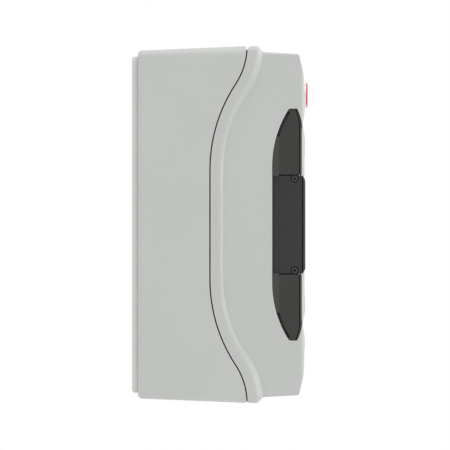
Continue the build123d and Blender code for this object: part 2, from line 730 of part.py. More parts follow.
with BuildPart() as flange:
    flange_front = WALL + FLANGE_GAP
    extrude(window_side(FLANGE_OUTSIDE, WINDOW_LOW + 0.5), amount=FAR, both=True)
    extrude(window_side(-FLANGE_INSIDE, 0), amount=FAR, both=True, mode=Mode.SUBTRACT)
    extrude(nose_plan(flange_front, WINDOW_FRONT, 2.2), amount=FAR, both=True, mode=Mode.INTERSECT)
    flange_inside = nose_plan(flange_front + FLANGE_THICKNESS, WINDOW_FRONT, 2.2)
    extrude(flange_inside, amount=FAR, both=True, mode=Mode.SUBTRACT)
    with BuildSketch(Plane.XY.offset(-FAR)):
        with Locations((0, FLANGE_FRONT - 50)):
            Rectangle(FAR, 100)
    extrude(amount=2 * FAR, mode=Mode.SUBTRACT)
    with BuildSketch(Plane.XY):
        Rectangle(FAR, 2 * FAR)
    extrude(amount=WINDOW_LOW, mode=Mode.SUBTRACT)
    with BuildSketch(Plane.XZ):
        with Locations((-FAR / 2, 0)):
            Rectangle(FAR, 2 * FAR)
    extrude(amount=FAR, mode=Mode.SUBTRACT)

with BuildPart() as window_pair:
    add(window.part)
    add(flange.part)

# ---------------------------------------------------------------- push bar

with BuildPart() as bar_tongues:
    # tongues inside the wings and the web, which close the gaps above and below the bar
    wing_inside = BAR_HALF_X - BAR_WALL
    web_back = BAR_FRONT + BAR_WALL
    extrude(bar_outline(wing_inside - 0.4, web_back - 0.1, TONGUE_WALL), amount=TONGUE_HALF_Z, both=True)
    extrude(bar_outline(wing_inside + 0.1, web_back - 0.1, TONGUE_WALL), amount=BAR_HALF_Z - 0.2, both=True)
    with BuildSketch(Plane.XZ.offset(-WINDOW_REAR - 1)):
        Rectangle(WIDTH, 2 * TONGUE_ROOT_Z)
    extrude(amount=FAR, mode=Mode.SUBTRACT)
    with BuildSketch(Plane.XZ.offset(-WINDOW_REAR - 1)):
        Rectangle(WIDTH, 2 * TONGUE_ROOT_Z)
    extrude(amount=-5, mode=Mode.SUBTRACT)

with BuildPart() as push_bar:
    # web behind the pad, and the two wings that run back into the cover
    extrude(bar_outline(BAR_HALF_X, BAR_FRONT, BAR_WALL), amount=BAR_HALF_Z, both=True)
    add(bar_tongues.part)
    # land that the pad sits on
    with BuildSketch(Plane.XZ.offset(-BAR_FRONT - 0.4)):
        Rectangle(2 * (BAR_HALF_X - LAND_INSET), 2 * (BAR_HALF_Z - LAND_INSET))
    extrude(amount=BAR_FRONT - PAD_BACK + 0.4)
    # notches round the pad pins, blind, open to the wings' ends
    for side in (-1, 1):
        with BuildSketch(Plane.YZ.offset(side * BAR_HALF_X)):
            with Locations((NOTCH_Y, NOTCH_Z), (NOTCH_Y, -NOTCH_Z)):
                Circle(NOTCH_R)
            with Locations((NOTCH_Y, BAR_HALF_Z), (NOTCH_Y, -BAR_HALF_Z)):
                Rectangle(2 * NOTCH_R, 2 * (BAR_HALF_Z - NOTCH_Z))
        extrude(amount=-side * NOTCH_DEPTH, mode=Mode.SUBTRACT)
    with BuildSketch(Plane.YZ):
        with Locations((NOTCH_Y, NOTCH_Z), (NOTCH_Y, -NOTCH_Z)):
            Circle(PAD_PIN_R)
    extrude(amount=FAR, both=True, mode=Mode.SUBTRACT)
    # clearance in the web's corners for the pad's lugs
    with BuildSketch(Plane.XZ.offset(-LUG_BACK - LUG_FIT)):
        with GridLocations(2 * LUG_X, 2 * NOTCH_Z, 2, 2):
            Rectangle(LUG_SIZE[0] + 2 * LUG_FIT, LUG_SIZE[1] + 2 * LUG_FIT)
    extrude(amount=LUG_BACK - BAR_FRONT + 3, mode=Mode.SUBTRACT)
    # hollow pusher that meets the lever's roller
    pusher_length = PUSHER_BACK - BAR_FRONT - BAR_WALL / 2
    with BuildSketch(Plane.XY.offset(PUSHER_Z[0])):
        with Locations((0, PUSHER_BACK - pusher_length / 2)):
            Rectangle(2 * PUSHER_HALF_X, pusher_length)
            Rectangle(2 * (PUSHER_HALF_X - PUSHER_WALL), pusher_length - 2 * PUSHER_WALL, mode=Mode.SUBTRACT)
    extrude(amount=PUSHER_Z[1] - PUSHER_Z[0])
    with BuildSketch(Plane.XZ.offset(-BAR_FRONT - BAR_WALL)):
        with GridLocations(2 * POST_X, 2 * POST_Z, 2, 2):
            Circle(POST_STUB_R)
    extrude(amount=BAR_WALL, mode=Mode.SUBTRACT)

with BuildPart() as push_pad:
    # plate whose front curves back towards its top and bottom edges
    with BuildSketch(Plane.YZ):
        with BuildLine():
            Line((PAD_BACK, 0), (PAD_BACK, PAD_TOP))
            TangentArc((PAD_FRONT, PAD_SHOULDER_Z), (PAD_BACK, PAD_TOP), tangent=(0, 1))
            Polyline((PAD_FRONT, PAD_SHOULDER_Z), (PAD_FRONT, 0), (PAD_BACK, 0))
        make_face()
        mirror(about=Plane.XZ)
    extrude(amount=BAR_HALF_X, both=True)
    fillet(push_pad.edges().filter_by(Axis.Z).group_by(Axis.Y)[0], PAD_ROUND)
    with BuildSketch(Plane.XZ.offset(-LUG_BACK)):
        with GridLocations(2 * LUG_X, 2 * NOTCH_Z, 2, 2):
            Rectangle(*LUG_SIZE)
    extrude(amount=LUG_BACK - PAD_BACK)
    with BuildSketch(Plane.YZ):
        with Locations((NOTCH_Y, NOTCH_Z), (NOTCH_Y, -NOTCH_Z)):
            Circle(PAD_PIN_R)
    extrude(amount=FAR, both=True, mode=Mode.SUBTRACT)

with BuildPart() as pad_pins:
    # shank through the lug, then a bored head in the bar's notch
    pin_end_x = BAR_HALF_X - 0.1
    with BuildSketch(Plane.YZ.offset(PAD_PIN_INNER_X)):
        with Locations((NOTCH_Y, NOTCH_Z), (NOTCH_Y, -NOTCH_Z)):
            Circle(PAD_PIN_R)
    extrude(amount=pin_end_x - PAD_PIN_INNER_X)
    with BuildSketch(Plane.YZ.offset(BAR_HALF_X - NOTCH_DEPTH)):
        with Locations((NOTCH_Y, NOTCH_Z), (NOTCH_Y, -NOTCH_Z)):
            Circle(PAD_PIN_HEAD_R)
    extrude(amount=NOTCH_DEPTH - 0.1)
    with BuildSketch(Plane.YZ.offset(pin_end_x - PAD_PIN_BORE)):
        with Locations((NOTCH_Y, NOTCH_Z), (NOTCH_Y, -NOTCH_Z)):
            Circle(PAD_PIN_BORE_R)
    extrude(amount=PAD_PIN_BORE, mode=Mode.SUBTRACT)
    mirror(about=Plane.YZ)

with BuildPart() as guide_posts:
    with BuildSketch(Plane.XZ.offset(-BRACKET_BACK)):
        with GridLocations(2 * POST_X, 2 * POST_Z, 2, 2):
            Circle(POST_R)
    extrude(amount=BRACKET_BACK - BAR_FRONT - BAR_WALL)
    with BuildSketch(Plane.XZ.offset(-BRACKET_BACK)):
        with GridLocations(2 * POST_X, 2 * POST_Z, 2, 2):
            Circle(POST_STUB_R)
    extrude(amount=BRACKET_BACK - BAR_FRONT - 0.2)

with BuildPart() as bar_bracket:
    with BuildSketch(Plane.XZ.offset(-BRACKET_BACK)):
        with Locations((BRACKET_X, 0)):
            RectangleRounded(BRACKET_WIDTH, 2 * POST_Z + 14, 3)
    extrude(amount=BRACKET_BACK - BRACKET_FRONT)
    with BuildSketch(Plane.XZ.offset(-BRACKET_BACK - BRACKET_BOSS)):
        with Locations((POST_X, POST_Z), (POST_X, -POST_Z)):
            Circle(POST_R + 2)
    extrude(amount=BRACKET_BOSS + 0.2)
    with BuildSketch(Plane.XZ.offset(-BRACKET_BACK - 2 * BRACKET_BOSS)):
        with Locations((POST_X, POST_Z), (POST_X, -POST_Z)):
            Circle(POST_R + RUNNING_FIT)
        with Locations((BRACKET_SCREW_X, BRACKET_SCREW_Z), (BRACKET_SCREW_X, -BRACKET_SCREW_Z)):
            Circle(BRACKET_SCREW_R)
    extrude(amount=4 * BRACKET_BOSS, mode=Mode.SUBTRACT)

with BuildPart() as bracket_screws:
    with BuildSketch(Plane.XZ.offset(-BRACKET_BACK - 3)):
        with GridLocations(2 * BRACKET_SCREW_X, 2 * BRACKET_SCREW_Z, 2, 2):
            Circle(BRACKET_SCREW_R)
    extrude(amount=3 + BRACKET_BACK - BRACKET_FRONT)
    with BuildSketch(Plane.XZ.offset(-BRACKET_FRONT)):
        with GridLocations(2 * BRACKET_SCREW_X, 2 * BRACKET_SCREW_Z, 2, 2):
            Circle(2.4)
    extrude(amount=1.5)
    chamfer(bracket_screws.faces().group_by(Axis.Y)[0].edges(), 0.5)

return_spring_length = BRACKET_FRONT - BAR_FRONT - BAR_WALL
return_springs = Compound(
    children=[
        coil(
            RETURN_COIL_R,
            RETURN_WIRE_R,
            return_spring_length,
            RETURN_TURNS,
            Plane(origin=(x, BRACKET_FRONT, z), z_dir=(0, -1, 0)),
        )
        for x in (-POST_X, POST_X)
        for z in (-POST_Z, POST_Z)
    ]
)

# ---------------------------------------------------------------- lock

lock_axis = (0, LOCK_Y)

with BuildPart() as lock_sleeve:
    with BuildSketch(Plane.XY.offset(LOCK_BOTTOM)):
        with Locations(lock_axis):
            Circle(LOCK_SLEEVE_R)
            Circle(LOCK_PLUG_R + RUNNING_FIT, mode=Mode.SUBTRACT)
    extrude(amount=LOCK_TOP - LOCK_BOTTOM)
    chamfer(lock_sleeve.edges().group_by(Axis.Z)[-1].sort_by(SortBy.LENGTH)[-1], 0.5)

with BuildPart() as lock_plug:
    with BuildSketch(Plane.XY.offset(CAM_TOP)):
        with Locations(lock_axis):
            Circle(LOCK_PLUG_R)
    extrude(amount=LOCK_TOP - 0.1 - CAM_TOP)
    with BuildSketch(Plane.XY.offset(TAIL_BOTTOM)):
        with Locations(lock_axis):
            Rectangle(TAIL, TAIL)
    extrude(amount=CAM_TOP - TAIL_BOTTOM)
    # key slot
    with BuildSketch(Plane.XY.offset(LOCK_TOP - 0.1 - KEY_SLOT_DEPTH)):
        with Locations(lock_axis):
            Rectangle(*KEY_SLOT)
    extrude(amount=KEY_SLOT_DEPTH, mode=Mode.SUBTRACT)

with BuildPart() as lock_cam:
    cam_middle = LOCK_Y - (CAM_REACH - CAM_WIDTH / 2) / 2
    with BuildSketch(Plane.XY.offset(CAM_BOTTOM)):
        with Locations((0, cam_middle)):
            SlotOverall(CAM_REACH + CAM_WIDTH / 2, CAM_WIDTH, rotation=90)
        with Locations(lock_axis):
            Rectangle(TAIL, TAIL, mode=Mode.SUBTRACT)
    extrude(amount=CAM_TOP - CAM_BOTTOM)

with BuildPart() as lock_catch:
    # foot under the cover's roof, upright, arm towards the lock, and the lip that the cam holds
    low_x, high_x = CATCH_X
    upright_y = CATCH_FOOT_Y[1] - CATCH_UPRIGHT
    add(box_between((low_x, CATCH_FOOT_Y[0], CATCH_FOOT_Z), (high_x, CATCH_FOOT_Y[1], half_height)))
    add(box_between((low_x, upright_y, CATCH_Z[0]), (high_x, CATCH_FOOT_Y[1], half_height)))
    add(box_between((low_x, upright_y, CATCH_Z[0]), (high_x, CATCH_LIP_Y[1], CATCH_Z[1])))
    add(box_between((low_x, CATCH_LIP_Y[0], CATCH_Z[0]), (high_x, CATCH_LIP_Y[1], CATCH_LIP_TOP)))
    add(nose_hollow.part, mode=Mode.INTERSECT)

with BuildPart() as lock_nut:
    with BuildSketch(Plane.XY.offset(TAIL_BOTTOM + 0.1)):
        with Locations(lock_axis):
            RegularPolygon(NUT_R, 6)
            Rectangle(TAIL, TAIL, mode=Mode.SUBTRACT)
    extrude(amount=CAM_BOTTOM - TAIL_BOTTOM - 0.1)

# ---------------------------------------------------------------- chassis and its screws

with BuildPart() as chassis:
    back = housing_floor + 0.1
    with BuildSketch(Plane.XZ.offset(back)):
        with Locations((0, CHASSIS_BACK_Z)):
            RectangleRounded(*CHASSIS_BACK, 4)
    extrude(amount=CHASSIS_THICKNESS)
    with BuildSketch(Plane.XY.offset(SHELF_Z - SHELF_THICKNESS)):
        with Locations((0, (SHELF_FRONT - back) / 2)):
            Rectangle(2 * SHELF_HALF_X, -SHELF_FRONT - back)
    extrude(amount=SHELF_THICKNESS)
    for side in (-1, 1):
        lip_x = side * (SHELF_HALF_X - 2)
        add(box_between((lip_x - 2, SHELF_FRONT, SHELF_Z - 1), (lip_x + 2, -back, SHELF_Z + 14)))
        with BuildSketch(Plane.YZ.offset(side * CHEEK_X)):
            Polygon(
                (-back, CHEEK_BOTTOM),
                (-26, CHEEK_BOTTOM),
                (-26, -74),
                (-70, SHELF_Z - 2),
                (-back, SHELF_Z - 2),
                align=None,
            )
        extrude(amount=CHEEK_THICKNESS / 2, both=True)
    with BuildSketch(Plane.XY.offset(SHELF_Z - SHELF_THICKNESS)):
        with Locations((0, PUMP_Y)):
            Circle(NECK_R + 3.6)
        with Locations((0, PUMP_Y - 20)):
            Rectangle(2 * (NECK_R + 3.6), 40)
    extrude(amount=SHELF_THICKNESS, mode=Mode.SUBTRACT)
    with BuildSketch(Plane.YZ):
        with Locations((PIVOT_Y, PIVOT_Z)):
            Circle(LEVER_PIN_R)
    extrude(amount=FAR, both=True, mode=Mode.SUBTRACT)
    with BuildSketch(Plane.XZ.offset(back)):
        with Locations(chassis_screw_places):
            Circle(CHASSIS_SCREW_R)
    extrude(amount=CHASSIS_THICKNESS, mode=Mode.SUBTRACT)
    fillet(chassis.edges().filter_by(Axis.Z).filter_by(lambda edge: edge.center().Y < SHELF_FRONT + 1), 1.5)

with BuildPart() as chassis_screws:
    with BuildSketch(Plane.XZ.offset(CHASSIS_SCREW_TIP)):
        with Locations(chassis_screw_places):
            Circle(CHASSIS_SCREW_R)
    extrude(amount=back + CHASSIS_THICKNESS - CHASSIS_SCREW_TIP)
    with BuildSketch(Plane.XZ.offset(back + CHASSIS_THICKNESS)):
        with Locations(chassis_screw_places):
            Circle(CHASSIS_SCREW_HEAD_R)
            Rectangle(CROSS_SLOT, 4.2, mode=Mode.SUBTRACT)
            Rectangle(4.2, CROSS_SLOT, mode=Mode.SUBTRACT)
    extrude(amount=CHASSIS_SCREW_HEAD)

with BuildPart() as plate_screws:
    with BuildSketch(Plane.XZ.offset(PLATE_SCREW_TIP)):
        with GridLocations(2 * PLATE_SCREW_X, 2 * PLATE_SCREW_Z, 2, 2):
            Circle(PLATE_SCREW_R)
    extrude(amount=housing_floor - PLATE_SCREW_TIP)
    with BuildSketch(Plane.XZ.offset(housing_floor)):
        with GridLocations(2 * PLATE_SCREW_X, 2 * PLATE_SCREW_Z, 2, 2):
            Circle(PLATE_SCREW_HEAD_R)
            Rectangle(CROSS_SLOT, 4.6, mode=Mode.SUBTRACT)
            Rectangle(4.6, CROSS_SLOT, mode=Mode.SUBTRACT)
    extrude(amount=PLATE_SCREW_HEAD)

# ---------------------------------------------------------------- refill


def bottle_side(shrink):
    """Side view of the refill: narrow behind the push bar, deep above it."""
    with BuildSketch(Plane.YZ) as side:
        Polygon(
            (BOTTLE_BACK, SHELF_Z),
            (BOTTLE_FRONT_LOW, SHELF_Z),
            (BOTTLE_FRONT_LOW, BOTTLE_STEP_Z[0]),
            (BOTTLE_FRONT_HIGH, BOTTLE_STEP_Z[1]),
            (BOTTLE_FRONT_HIGH, BOTTLE_TOP),
            (BOTTLE_BACK, BOTTLE_TOP),
            align=None,
        )
        fillet(side.vertices(), 8)
        if shrink:
            offset(amount=-shrink, mode=Mode.REPLACE)
    return side.sketch


with BuildPart() as refill_bottle:
    extrude(bottle_side(0), amount=BOTTLE_HALF_X, both=True)
    fillet(refill_bottle.faces().filter_by(Axis.X).edges(), 3.0)
    with BuildSketch(Plane.XY.offset(NECK_BOTTOM)):
        with Locations((0, PUMP_Y)):
            Circle(NECK_R)
    extrude(amount=SHELF_Z - NECK_BOTTOM + 0.5)
    extrude(bottle_side(BOTTLE_WALL), amount=BOTTLE_HALF_X - BOTTLE_WALL - 0.3, both=True, mode=Mode.SUBTRACT)
    with BuildSketch(Plane.XY.offset(NECK_BOTTOM)):
        with Locations((0, PUMP_Y)):
            Circle(NECK_R - NECK_WALL)
    extrude(amount=SHELF_Z - NECK_BOTTOM + 3, mode=Mode.SUBTRACT)

with BuildPart() as liquid_soap:
    extrude(bottle_side(BOTTLE_WALL + 0.05), amount=BOTTLE_HALF_X - BOTTLE_WALL - 0.35, both=True)
    with BuildSketch(Plane.XY.offset(SOAP_LEVEL)):
        with Locations((0, PUMP_Y)):
            Rectangle(FAR, FAR)
    extrude(amount=BOTTLE_TOP - SOAP_LEVEL, mode=Mode.SUBTRACT)

with BuildPart() as bottle_cap:
    with BuildSketch(Plane.XY.offset(CAP_BOTTOM)):
        with Locations((0, PUMP_Y)):
            Circle(NECK_R + CAP_WALL)
    extrude(amount=CAP_HEIGHT)
    with BuildSketch(Plane.XY.offset(NECK_BOTTOM)):
        with Locations((0, PUMP_Y)):
            Circle(NECK_R)
    extrude(amount=20, mode=Mode.SUBTRACT)
    with BuildSketch(Plane.XY.offset(NECK_BOTTOM - 5)):
        with Locations((0, PUMP_Y)):
            Circle(BARREL_R)
    extrude(amount=8, mode=Mode.SUBTRACT)

# ---------------------------------------------------------------- pump

with BuildPart() as pump_barrel:
    with BuildSketch(Plane.XY.offset(BARREL_BOTTOM)):
        with Locations((0, PUMP_Y)):
            Circle(BARREL_R)
    extrude(amount=NECK_BOTTOM - BARREL_BOTTOM)
    with BuildSketch(Plane.XY.offset(NECK_BOTTOM)):
        with Locations((0, PUMP_Y)):
            Circle(NECK_R - 2.5)
    extrude(amount=2.0)
    with BuildSketch(Plane.XY.offset(BARREL_BOTTOM + 2)):
        with Locations((0, PUMP_Y)):
            Circle(PISTON_BORE_R)
    extrude(amount=30, mode=Mode.SUBTRACT)
    with BuildSketch(Plane.XY.offset(BARREL_BOTTOM)):
        with Locations((0, PUMP_Y)):
            Circle(STEM_R + RUNNING_FIT)
    extrude(amount=4, mode=Mode.SUBTRACT)

with BuildPart() as pump_piston:
    with BuildSketch(Plane.XY.offset(BARREL_BOTTOM + 3.5)):
        with Locations((0, PUMP_Y)):
            Circle(PISTON_BORE_R - RUNNING_FIT)
    extrude(amount=4)
    with BuildSketch(Plane.XY.offset(COLLAR_BOTTOM)):
        with Locations((0, PUMP_Y)):
            Circle(STEM_R)
    extrude(amount=BARREL_BOTTOM + 4 - COLLAR_BOTTOM)
    with BuildSketch(Plane.XY.offset(COLLAR_BOTTOM)):
        with Locations((0, PUMP_Y)):
            Circle(STEM_BORE_R)
    extrude(amount=40, mode=Mode.SUBTRACT)

with BuildPart() as pump_collar:
    with BuildSketch(Plane.XY.offset(COLLAR_BOTTOM)):
        with Locations((0, PUMP_Y)):
            Circle(COLLAR_R)
    extrude(amount=COLLAR_TOP - COLLAR_BOTTOM)
    for low in (COLLAR_BOTTOM, COLLAR_TOP - COLLAR_FLANGE):
        with BuildSketch(Plane.XY.offset(low)):
            with Locations((0, PUMP_Y)):
                Circle(COLLAR_FLANGE_R)
        extrude(amount=COLLAR_FLANGE)
    with BuildSketch(Plane.XY.offset(COLLAR_BOTTOM)):
        with Locations((0, PUMP_Y)):
            Circle(STEM_R)
    extrude(amount=10, mode=Mode.SUBTRACT)

with BuildPart() as nozzle:
    with BuildSketch(Plane.XY.offset(NOZZLE_TIP)):
        with Locations((0, PUMP_Y)):
            Circle(NOZZLE_TIP_R)
    with BuildSketch(Plane.XY.offset(COLLAR_BOTTOM)):
        with Locations((0, PUMP_Y)):
            Circle(NOZZLE_TOP_R)
    loft()
    with BuildSketch(Plane.XY.offset(NOZZLE_TIP)):
        with Locations((0, PUMP_Y)):
            Circle(STEM_BORE_R)
    extrude(amount=50, mode=Mode.SUBTRACT)

pump_spring = coil(
    PUMP_COIL_R,
    PUMP_WIRE_R,
    CAP_BOTTOM - COLLAR_TOP,
    PUMP_TURNS,
    Plane(origin=(0, PUMP_Y, COLLAR_TOP), z_dir=(0, 0, 1)),
)

# ---------------------------------------------------------------- dose lever

with BuildPart() as dose_lever:
    with BuildSketch(Plane.YZ.offset(ARM_INNER_X)) as arm:
        with BuildLine():
            FilletPolyline((PIVOT_Y, PIVOT_Z), ARM_ELBOW, (ROLLER_Y, ROLLER_Z), radius=ARM_ELBOW_R)
        trace(line_width=ARM_WIDTH)
        with Locations((PIVOT_Y, PIVOT_Z), (ROLLER_Y, ROLLER_Z)):
            Circle(ARM_BOSS_R)
    extrude(amount=ARM_THICKNESS)
    with BuildSketch(Plane.YZ.offset(STUD_INNER_X)):
        with Locations((PUMP_Y, STUD_Z)):
            Circle(STUD_R)
    extrude(amount=ARM_INNER_X - STUD_INNER_X + 1)
    with BuildSketch(Plane.YZ.offset(ARM_INNER_X)):
        with Locations((PIVOT_Y, PIVOT_Z)):
            Circle(LEVER_PIN_R + RUNNING_FIT)
        with Locations((ROLLER_Y, ROLLER_Z)):
            Circle(ROLLER_PIN_R)
    extrude(amount=ARM_THICKNESS, mode=Mode.SUBTRACT)
    mirror(about=Plane.YZ)
    with BuildSketch(Plane.YZ):
        with BuildLine():
            Line(*ARM_BRACE)
        trace(line_width=3.0)
    extrude(amount=ARM_INNER_X + 1, both=True)

with BuildPart() as lever_roller:
    with BuildSketch(Plane.YZ):
        with Locations((ROLLER_Y, ROLLER_Z)):
            Circle(ROLLER_R)
            Circle(ROLLER_PIN_R + RUNNING_FIT, mode=Mode.SUBTRACT)
    extrude(amount=ARM_INNER_X - 0.3, both=True)

roller_pin = cylinder_between(ROLLER_PIN_R, (-30.4, ROLLER_Y, ROLLER_Z), (30.4, ROLLER_Y, ROLLER_Z))
lever_pin = cylinder_between(LEVER_PIN_R, (-35.6, PIVOT_Y, PIVOT_Z), (35.6, PIVOT_Y, PIVOT_Z))

# ---------------------------------------------------------------- badge

with BuildPart() as badge:
    extrude(badge_outline(0, BADGE_SEAT), amount=BADGE_SEAT - BADGE_FACE)
    with BuildSketch(Plane.XZ.offset(-BADGE_PEG_BACK)):
        with Locations((0, BADGE_Z)):
            Circle(BADGE_PEG_R)
    extrude(amount=3.0)

with BuildPart() as badge_ring:
    extrude(badge_outline(0, BADGE_FACE), amount=BADGE_FACE - BADGE_FRONT)
    fillet(badge_ring.faces().sort_by(Axis.Y)[0].edges(), 0.9)
    extrude(badge_outline(BADGE_RING, BADGE_FACE), amount=5, mode=Mode.SUBTRACT)

with BuildPart() as badge_inlay:
    extrude(badge_outline(BADGE_RING + 0.1, BADGE_FACE), amount=1.0)
    fillet(badge_inlay.faces().sort_by(Axis.Y)[0].edges(), 0.7)

# ---------------------------------------------------------------- export

window_upper_right = window_pair.part
window_lower_right = mirror(window_upper_right, about=Plane.XY)

pieces = {
    "wall_plate": wall_plate.part,
    "rear_housing": rear_housing.part,
    "outlet_bezel": outlet_bezel.part,
    "front_cover": front_cover.part,
    "cover_seal": cover_seal.part,
    "hinge_pins": hinge_pins,
    "window_upper_right": window_upper_right,
    "window_lower_right": window_lower_right,
    "window_upper_left": mirror(window_upper_right, about=Plane.YZ),
    "window_lower_left": mirror(window_lower_right, about=Plane.YZ),
    "push_bar": push_bar.part,
    "push_pad": push_pad.part,
    "pad_pins": pad_pins.part,
    "guide_posts": guide_posts.part,
    "bar_bracket_right": bar_bracket.part,
    "bar_bracket_left": mirror(bar_bracket.part, about=Plane.YZ),
    "bracket_screws": bracket_screws.part,
    "return_springs": return_springs,
    "lock_sleeve": lock_sleeve.part,
    "lock_plug": lock_plug.part,
    "lock_cam": lock_cam.part,
    "lock_nut": lock_nut.part,
    "lock_catch": lock_catch.part,
    "chassis": chassis.part,
    "chassis_screws": chassis_screws.part,
    "plate_screws": plate_screws.part,
    "refill_bottle": refill_bottle.part,
    "liquid_soap": liquid_soap.part,
    "bottle_cap": bottle_cap.part,
    "pump_barrel": pump_barrel.part,
    "pump_piston": pump_piston.part,
    "pump_collar": pump_collar.part,
    "nozzle": nozzle.part,
    "pump_spring": pump_spring,
    "dose_lever": dose_lever.part,
    "lever_roller": lever_roller.part,
    "roller_pin": roller_pin,
    "lever_pin": lever_pin,
    "badge": badge.part,
    "badge_ring": badge_ring.part,
    "badge_inlay": badge_inlay.part,
}

os.makedirs("parts", exist_ok=True)
for name, piece in pieces.items():
    piece.label = name
    export_step(piece, f"parts/{name}.step")
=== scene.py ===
import json
from math import cos, pi, sin, tau

import bpy
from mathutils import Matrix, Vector


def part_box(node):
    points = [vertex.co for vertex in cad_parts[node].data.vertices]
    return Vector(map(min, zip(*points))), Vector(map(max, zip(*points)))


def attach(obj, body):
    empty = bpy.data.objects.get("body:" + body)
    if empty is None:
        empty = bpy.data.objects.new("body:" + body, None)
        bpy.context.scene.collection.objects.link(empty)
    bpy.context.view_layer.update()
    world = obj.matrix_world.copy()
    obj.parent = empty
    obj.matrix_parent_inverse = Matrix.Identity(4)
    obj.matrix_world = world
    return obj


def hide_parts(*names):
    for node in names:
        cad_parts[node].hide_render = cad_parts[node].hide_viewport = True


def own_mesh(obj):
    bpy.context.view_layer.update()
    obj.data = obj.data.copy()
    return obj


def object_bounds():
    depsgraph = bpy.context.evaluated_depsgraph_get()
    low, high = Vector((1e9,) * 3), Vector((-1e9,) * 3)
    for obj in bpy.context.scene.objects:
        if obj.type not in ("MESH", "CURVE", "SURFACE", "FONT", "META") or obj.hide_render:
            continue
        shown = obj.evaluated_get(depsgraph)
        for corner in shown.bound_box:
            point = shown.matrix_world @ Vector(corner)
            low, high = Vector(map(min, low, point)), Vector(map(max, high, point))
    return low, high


# Wall mounted soap dispenser: materials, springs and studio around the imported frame.
# Metres, +Z up, front at -Y.

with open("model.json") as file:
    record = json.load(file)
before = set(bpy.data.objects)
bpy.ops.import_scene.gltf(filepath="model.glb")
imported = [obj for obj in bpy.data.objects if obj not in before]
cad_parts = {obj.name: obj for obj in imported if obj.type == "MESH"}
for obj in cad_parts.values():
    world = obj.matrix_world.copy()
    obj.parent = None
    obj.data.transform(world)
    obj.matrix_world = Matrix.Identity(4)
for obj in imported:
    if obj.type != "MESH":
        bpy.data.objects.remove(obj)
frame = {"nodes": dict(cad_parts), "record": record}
nodes = frame["nodes"]
cad_low, cad_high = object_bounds()

MM = 0.001

# Camera: square on to the side, from far away through a long lens
FRAME_WIDTH = 352.8 * MM
FRAME_CENTRE_Y = -73.0 * MM
FRAME_CENTRE_Z = -0.34 * MM
LENS = 1000.0
SENSOR = 36.0
SIDE_PLANE_X = -66.0 * MM
NEAR_LIMIT = 0.1
FAR_LIMIT = 40.0

# Studio
FLOOR_DROP = 190.0 * MM
FLOOR_HALF = 3.0
WORLD_LIGHT = 1.0
TOP_LIGHT = 1.0
FRONT_LIGHT = 1.9
LIGHT_SPREAD = 0.9
LIGHT_FROM_TOP = (0, 0, 0)
LIGHT_FROM_FRONT = (pi / 2, 0, 0)
FLOOR_ROUGHNESS = 0.9

# Rear border of the smoked windows, and half the width over which its tint fades
BORDER_Y = -115.3 * MM
BORDER_FADE = 0.4 * MM
BORDER_TINT = (0.036, 0.0353, 0.033, 1)

# Shading: rays per edge or crevice lookup, and how well the rounded and the flat normal agree
LOOKUP_SAMPLES = 6
FLAT_AGREEMENT = 0.995
EDGE_AGREEMENT = 0.88
PLASTIC_IOR = 1.49
GAP_ROUGHNESS = 0.95

# Springs
RETURN_WIRE = 0.5 * MM
RETURN_COIL = 4.4 * MM
RETURN_TURNS = 9
PUMP_WIRE = 0.8 * MM
PUMP_COIL = 11.0 * MM
PUMP_TURNS = 5
STEPS_PER_TURN = 28
RETURN_SIDES = 10
PUMP_SIDES = 12


# ---------------------------------------------------------------- materials


